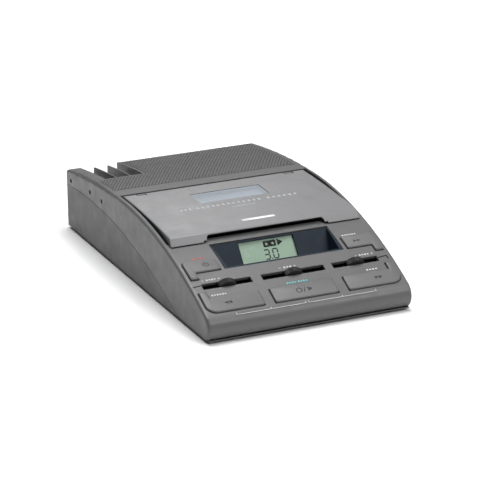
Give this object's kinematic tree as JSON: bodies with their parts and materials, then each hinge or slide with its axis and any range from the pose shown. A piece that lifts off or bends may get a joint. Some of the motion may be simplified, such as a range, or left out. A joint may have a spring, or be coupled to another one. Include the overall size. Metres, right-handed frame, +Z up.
{
  "type": "desktop dictation machine",
  "caption": "Desktop cassette dictation machine: arched casing, hinged lid with a window, display well, press keys, sliders and a back connector bay.",
  "frame": {"origin": "middle of the footprint on the desk, under the feet", "axes": "+Z up, +Y towards the back where the cables leave, +X to the right for someone at the keys"},
  "size_m": [0.14, 0.244, 0.0504],
  "materials": {
    "housing_grey": "fine textured charcoal grey moulding",
    "base_grey": "fine textured charcoal grey moulding",
    "lid_grey": "fine textured grey moulding",
    "key_grey": "satin grey key caps",
    "knob_dark": "ribbed dark grey knobs",
    "insert_dark": "dark grey moulding",
    "bezel_navy": "smoked dark blue panel",
    "screen_green": "grey-green liquid-crystal glass",
    "clear_window": "clear pane",
    "cassette_grey": "dark cassette shell",
    "label_paper": "printed blue-grey label",
    "reel_white": "white reels",
    "tape_brown": "magnetic tape",
    "steel": "plated steel",
    "brass": "turned brass",
    "rubber_black": "black rubber",
    "dome_rubber": "grey silicone rubber",
    "tray_dark": "black deck tray",
    "wheel_white": "natural acetal wheels",
    "board_green": "circuit board",
    "chip_black": "moulded component bodies",
    "cable_grey": "flat cable",
    "socket_black": "socket bodies",
    "speaker_steel": "painted speaker basket",
    "cone_paper": "black paper cone",
    "coil_tape": "solenoid with taped winding"
  },
  "bodies": {
    "housing": {"upper_housing": "housing_grey", "lower_housing": "base_grey", "rubber_feet": "rubber_black", "case_screws": "steel", "connector_bay": "insert_dark", "power_jack": "socket_black", "headset_jack": "socket_black", "pedal_socket": "socket_black", "socket_board": "board_green", "display_bezel": "bezel_navy", "display_glass": "screen_green", "slider_tracks": "chip_black", "control_board": "board_green", "key_domes": "dome_rubber", "deck_plate": "steel", "deck_cover": "tray_dark", "deck_screws": "steel", "spindle_bushes": "brass", "drive_motor": "steel", "head_solenoid": "coil_tape", "drive_belt": "rubber_black", "carriage_spring": "steel", "main_board": "board_green", "board_screws": "steel", "board_components": "chip_black", "ribbon_cable": "cable_grey", "speaker_frame": "speaker_steel", "speaker_cone": "cone_paper"},
    "lid": {"cassette_lid": "lid_grey", "lid_window": "clear_window", "lid_hinge_rod": "steel"},
    "power_key": {"power_key": "key_grey"},
    "search_key": {"search_key": "key_grey"},
    "rewind_key": {"rewind_key": "key_grey"},
    "stop_play_key": {"stop_play_key": "key_grey"},
    "wind_key": {"wind_key": "key_grey"},
    "speed_slider_knob": {"speed_slider_knob": "knob_dark"},
    "volume_slider_knob": {"volume_slider_knob": "knob_dark"},
    "tone_slider_knob": {"tone_slider_knob": "knob_dark"},
    "supply_drive": {"supply_spindle": "wheel_white", "supply_turntable": "wheel_white"},
    "takeup_drive": {"takeup_spindle": "wheel_white", "takeup_turntable": "wheel_white"},
    "drive_pulley": {"drive_pulley": "wheel_white"},
    "idler_arm": {"idler_arm": "steel"},
    "idler": {"idler_wheel": "wheel_white", "idler_tyre": "rubber_black"},
    "motor_rotor": {"motor_shaft": "steel", "motor_pulley": "brass"},
    "head_carriage": {"head_carriage": "steel", "playback_head": "steel", "solenoid_plunger": "steel"},
    "cassette": {"cassette_base": "cassette_grey", "cassette_cover": "cassette_grey", "cassette_label": "label_paper", "tape_run": "tape_brown"},
    "supply_reel": {"supply_reel": "reel_white", "supply_tape": "tape_brown"},
    "takeup_reel": {"takeup_reel": "reel_white", "takeup_tape": "tape_brown"}
  },
  "joints": [
    {"name": "lid_hinge", "type": "hinge", "parent": "housing", "child": "lid", "pos_m": [0, 0.0276, 0.0483], "axis": [-1, 0, 0], "range_deg": [0, 70]},
    {"name": "power_key_press", "type": "slide", "parent": "housing", "child": "power_key", "axis": [0, 0.3225, -0.9466], "range_m": [0, 0.001], "stiffness_N_per_m": 700},
    {"name": "search_key_press", "type": "slide", "parent": "housing", "child": "search_key", "axis": [0, 0.3225, -0.9466], "range_m": [0, 0.001], "stiffness_N_per_m": 700},
    {"name": "rewind_key_press", "type": "slide", "parent": "housing", "child": "rewind_key", "axis": [0, 0.4342, -0.9008], "range_m": [0, 0.001], "stiffness_N_per_m": 700},
    {"name": "stop_play_key_press", "type": "slide", "parent": "housing", "child": "stop_play_key", "axis": [0, 0.4342, -0.9008], "range_m": [0, 0.001], "stiffness_N_per_m": 700},
    {"name": "wind_key_press", "type": "slide", "parent": "housing", "child": "wind_key", "axis": [0, 0.4342, -0.9008], "range_m": [0, 0.001], "stiffness_N_per_m": 700},
    {"name": "speed_slider_slide", "type": "slide", "parent": "housing", "child": "speed_slider_knob", "axis": [1, 0, 0], "range_m": [-0.01055, 0.01055]},
    {"name": "volume_slider_slide", "type": "slide", "parent": "housing", "child": "volume_slider_knob", "axis": [1, 0, 0], "range_m": [-0.0154, 0.0154]},
    {"name": "tone_slider_slide", "type": "slide", "parent": "housing", "child": "tone_slider_knob", "axis": [1, 0, 0], "range_m": [-0.0099, 0.0099]},
    {"name": "takeup_turn", "type": "hinge", "parent": "housing", "child": "takeup_drive", "pos_m": [0.013, 0.004, 0.03], "axis": [0, 0, 1], "continuous": true},
    {"name": "supply_turn", "type": "hinge", "parent": "housing", "child": "supply_drive", "pos_m": [-0.013, 0.004, 0.03], "axis": [0, 0, 1], "continuous": true},
    {"name": "drive_pulley_turn", "type": "hinge", "parent": "housing", "child": "drive_pulley", "pos_m": [0, 0.02596, 0.026], "axis": [0, 0, 1], "continuous": true},
    {"name": "motor_turn", "type": "hinge", "parent": "housing", "child": "motor_rotor", "pos_m": [0.036, 0.01996, 0.02], "axis": [0, 0, 1], "continuous": true},
    {"name": "idler_swing", "type": "hinge", "parent": "housing", "child": "idler_arm", "pos_m": [0, 0.02596, 0.029], "axis": [0, 0, 1], "range_deg": [-5, 5]},
    {"name": "idler_turn", "type": "hinge", "parent": "idler_arm", "child": "idler", "pos_m": [0, 0.01416, 0.027], "axis": [0, 0, 1], "continuous": true},
    {"name": "carriage_slide", "type": "slide", "parent": "housing", "child": "head_carriage", "axis": [0, 1, 0], "range_m": [0, 0.0035], "stiffness_N_per_m": 150},
    {"name": "cassette_lift", "type": "slide", "parent": "housing", "child": "cassette", "axis": [0, 0, 1], "range_m": [0, 0.0025]},
    {"name": "supply_reel_turn", "type": "hinge", "parent": "cassette", "child": "supply_reel", "pos_m": [-0.013, 0.004, 0.039], "axis": [0, 0, 1], "continuous": true},
    {"name": "takeup_reel_turn", "type": "hinge", "parent": "cassette", "child": "takeup_reel", "pos_m": [0.013, 0.004, 0.039], "axis": [0, 0, 1], "continuous": true}
  ],
  "couplings": [
    {"joint": "supply_turn", "follows": "takeup_turn", "ratio": 1},
    {"joint": "supply_reel_turn", "follows": "takeup_turn", "ratio": 1},
    {"joint": "takeup_reel_turn", "follows": "takeup_turn", "ratio": 1},
    {"joint": "drive_pulley_turn", "follows": "takeup_turn", "ratio": 1.6964},
    {"joint": "motor_turn", "follows": "takeup_turn", "ratio": 6.59},
    {"joint": "idler_turn", "follows": "takeup_turn", "ratio": -1.5833}
  ]
}
